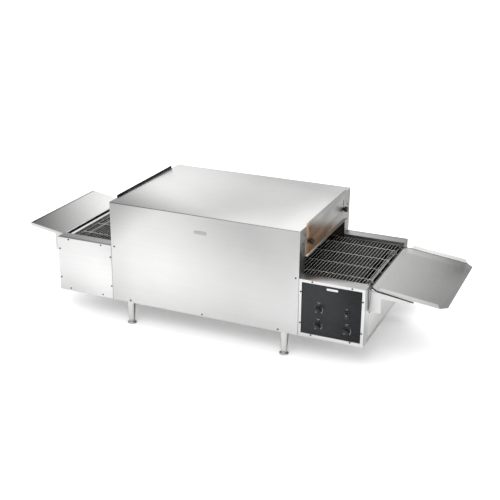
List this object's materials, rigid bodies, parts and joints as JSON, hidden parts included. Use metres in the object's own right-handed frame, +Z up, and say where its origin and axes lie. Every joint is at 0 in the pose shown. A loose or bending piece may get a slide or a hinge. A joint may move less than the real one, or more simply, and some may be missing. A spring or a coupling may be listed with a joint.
{
  "type": "countertop conveyor pizza oven",
  "caption": "Countertop conveyor oven: a stainless baking tunnel on four legs with a wire belt, end trays, height-set baffles and a control box with knobs and a rocker.",
  "frame": {"origin": "on the floor under the middle of the overall length and depth", "axes": "+X towards the exit end and its control box, +Z up, -Y is the front with the controls"},
  "size_m": [1.7189, 0.6, 0.519],
  "materials": {
    "brushed_stainless": "brushed stainless sheet",
    "machined_steel": "plain machined steel",
    "belt_wire": "oven-darkened steel wire",
    "charcoal_panel": "satin charcoal",
    "black_plastic": "moulded black",
    "heater_sheath": "oxidised heater sheath",
    "ceramic_wool": "soft ceramic fibre",
    "motor_paint": "dark machine paint",
    "cord_rubber": "matt rubber"
  },
  "bodies": {
    "oven": {"back_panel": "brushed_stainless", "base_pan": "brushed_stainless", "control_box_shell": "brushed_stainless", "control_fascia": "brushed_stainless", "control_panel": "charcoal_panel", "conveyor_belt": "belt_wire", "cooling_fan_frame": "black_plastic", "drive_chain": "belt_wire", "entry_cross_bar": "brushed_stainless", "entry_end_cover": "brushed_stainless", "entry_end_wall": "brushed_stainless", "exit_end_cover": "brushed_stainless", "exit_end_wall": "brushed_stainless", "front_belt_track": "machined_steel", "front_panel": "brushed_stainless", "gearmotor": "motor_paint", "idler_box_shell": "brushed_stainless", "idler_front_cover": "brushed_stainless", "insulation_blanket": "ceramic_wool", "leg_front_entry": "brushed_stainless", "leg_front_exit": "brushed_stainless", "leg_rear_entry": "brushed_stainless", "leg_rear_exit": "brushed_stainless", "lower_heater": "heater_sheath", "lower_liner": "brushed_stainless", "power_cord": "cord_rubber", "power_switch_body": "black_plastic", "rear_belt_track": "machined_steel", "top_cover": "brushed_stainless", "tray_bracket_front_entry": "brushed_stainless", "tray_bracket_front_exit": "brushed_stainless", "tray_bracket_rear_entry": "brushed_stainless", "tray_bracket_rear_exit": "brushed_stainless", "upper_heater": "heater_sheath", "upper_liner": "brushed_stainless"},
    "exit_baffle": {"exit_baffle": "brushed_stainless"},
    "entry_baffle": {"entry_baffle": "brushed_stainless"},
    "exit_tray": {"exit_tray": "brushed_stainless"},
    "entry_tray": {"entry_tray": "brushed_stainless"},
    "drive_shaft": {"drive_shaft": "brushed_stainless", "drive_sprocket_front": "machined_steel", "drive_sprocket_rear": "machined_steel", "shaft_chain_wheel": "machined_steel"},
    "idler_shaft": {"idler_shaft": "brushed_stainless", "idler_sprocket_front": "machined_steel", "idler_sprocket_rear": "machined_steel"},
    "motor_sprocket": {"motor_sprocket": "machined_steel"},
    "cooling_fan_rotor": {"cooling_fan_rotor": "black_plastic"},
    "power_rocker": {"power_rocker": "black_plastic"},
    "top_heat_knob": {"top_heat_knob": "black_plastic"},
    "bottom_heat_knob": {"bottom_heat_knob": "black_plastic"},
    "belt_speed_knob": {"belt_speed_knob": "black_plastic"},
    "baffle_knob_front_entry": {"baffle_knob_front_entry": "black_plastic"},
    "foot_front_entry": {"foot_front_entry": "machined_steel"},
    "baffle_knob_front_exit": {"baffle_knob_front_exit": "black_plastic"},
    "foot_front_exit": {"foot_front_exit": "machined_steel"},
    "baffle_knob_rear_entry": {"baffle_knob_rear_entry": "black_plastic"},
    "foot_rear_entry": {"foot_rear_entry": "machined_steel"},
    "baffle_knob_rear_exit": {"baffle_knob_rear_exit": "black_plastic"},
    "foot_rear_exit": {"foot_rear_exit": "machined_steel"}
  },
  "joints": [
    {"name": "exit_baffle_slide", "type": "slide", "parent": "oven", "child": "exit_baffle", "axis": [0, 0, -1], "range_m": [0, 0.034]},
    {"name": "baffle_knob_front_exit_turn", "type": "hinge", "parent": "oven", "child": "baffle_knob_front_exit", "pos_m": [0.331, -0.195, 0.445], "axis": [1, 0, 0], "continuous": true},
    {"name": "baffle_knob_rear_exit_turn", "type": "hinge", "parent": "oven", "child": "baffle_knob_rear_exit", "pos_m": [0.331, 0.195, 0.445], "axis": [1, 0, 0], "continuous": true},
    {"name": "exit_tray_lift", "type": "slide", "parent": "oven", "child": "exit_tray", "axis": [0, 0, 1], "range_m": [0, 0.08]},
    {"name": "entry_baffle_slide", "type": "slide", "parent": "oven", "child": "entry_baffle", "axis": [0, 0, -1], "range_m": [0, 0.034]},
    {"name": "baffle_knob_front_entry_turn", "type": "hinge", "parent": "oven", "child": "baffle_knob_front_entry", "pos_m": [-0.451, -0.195, 0.445], "axis": [-1, 0, 0], "continuous": true},
    {"name": "baffle_knob_rear_entry_turn", "type": "hinge", "parent": "oven", "child": "baffle_knob_rear_entry", "pos_m": [-0.451, 0.195, 0.445], "axis": [-1, 0, 0], "continuous": true},
    {"name": "entry_tray_lift", "type": "slide", "parent": "oven", "child": "entry_tray", "axis": [0, 0, 1], "range_m": [0, 0.08]},
    {"name": "top_heat_knob_turn", "type": "hinge", "parent": "oven", "child": "top_heat_knob", "pos_m": [0.4087, -0.281, 0.221], "axis": [0, 1, 0], "range_deg": [0, 270]},
    {"name": "bottom_heat_knob_turn", "type": "hinge", "parent": "oven", "child": "bottom_heat_knob", "pos_m": [0.4087, -0.281, 0.156], "axis": [0, 1, 0], "range_deg": [0, 270]},
    {"name": "belt_speed_knob_turn", "type": "hinge", "parent": "oven", "child": "belt_speed_knob", "pos_m": [0.518, -0.281, 0.156], "axis": [0, 1, 0], "range_deg": [0, 280]},
    {"name": "power_rocker_tilt", "type": "hinge", "parent": "oven", "child": "power_rocker", "pos_m": [0.515, -0.28, 0.2165], "axis": [-1, 0, 0], "range_deg": [0, 20]},
    {"name": "drive_shaft_spin", "type": "hinge", "parent": "oven", "child": "drive_shaft", "pos_m": [0.553, 0, 0.296], "axis": [0, 1, 0], "continuous": true},
    {"name": "idler_shaft_spin", "type": "hinge", "parent": "oven", "child": "idler_shaft", "pos_m": [-0.651, 0, 0.296], "axis": [0, 1, 0], "continuous": true},
    {"name": "motor_sprocket_spin", "type": "hinge", "parent": "oven", "child": "motor_sprocket", "pos_m": [0.47, -0.2405, 0.165], "axis": [0, 1, 0], "continuous": true},
    {"name": "cooling_fan_spin", "type": "hinge", "parent": "oven", "child": "cooling_fan_rotor", "pos_m": [0.44, 0.271, 0.2], "axis": [0, 1, 0], "continuous": true},
    {"name": "foot_front_entry_turn", "type": "hinge", "parent": "oven", "child": "foot_front_entry", "pos_m": [-0.388, -0.255, 0], "axis": [0, 0, 1], "continuous": true},
    {"name": "foot_front_exit_turn", "type": "hinge", "parent": "oven", "child": "foot_front_exit", "pos_m": [0.268, -0.255, 0], "axis": [0, 0, 1], "continuous": true},
    {"name": "foot_rear_entry_turn", "type": "hinge", "parent": "oven", "child": "foot_rear_entry", "pos_m": [-0.388, 0.255, 0], "axis": [0, 0, 1], "continuous": true},
    {"name": "foot_rear_exit_turn", "type": "hinge", "parent": "oven", "child": "foot_rear_exit", "pos_m": [0.268, 0.255, 0], "axis": [0, 0, 1], "continuous": true}
  ],
  "couplings": [
    {"joint": "idler_shaft_spin", "follows": "drive_shaft_spin", "ratio": 1},
    {"joint": "motor_sprocket_spin", "follows": "drive_shaft_spin", "ratio": 1.5}
  ]
}
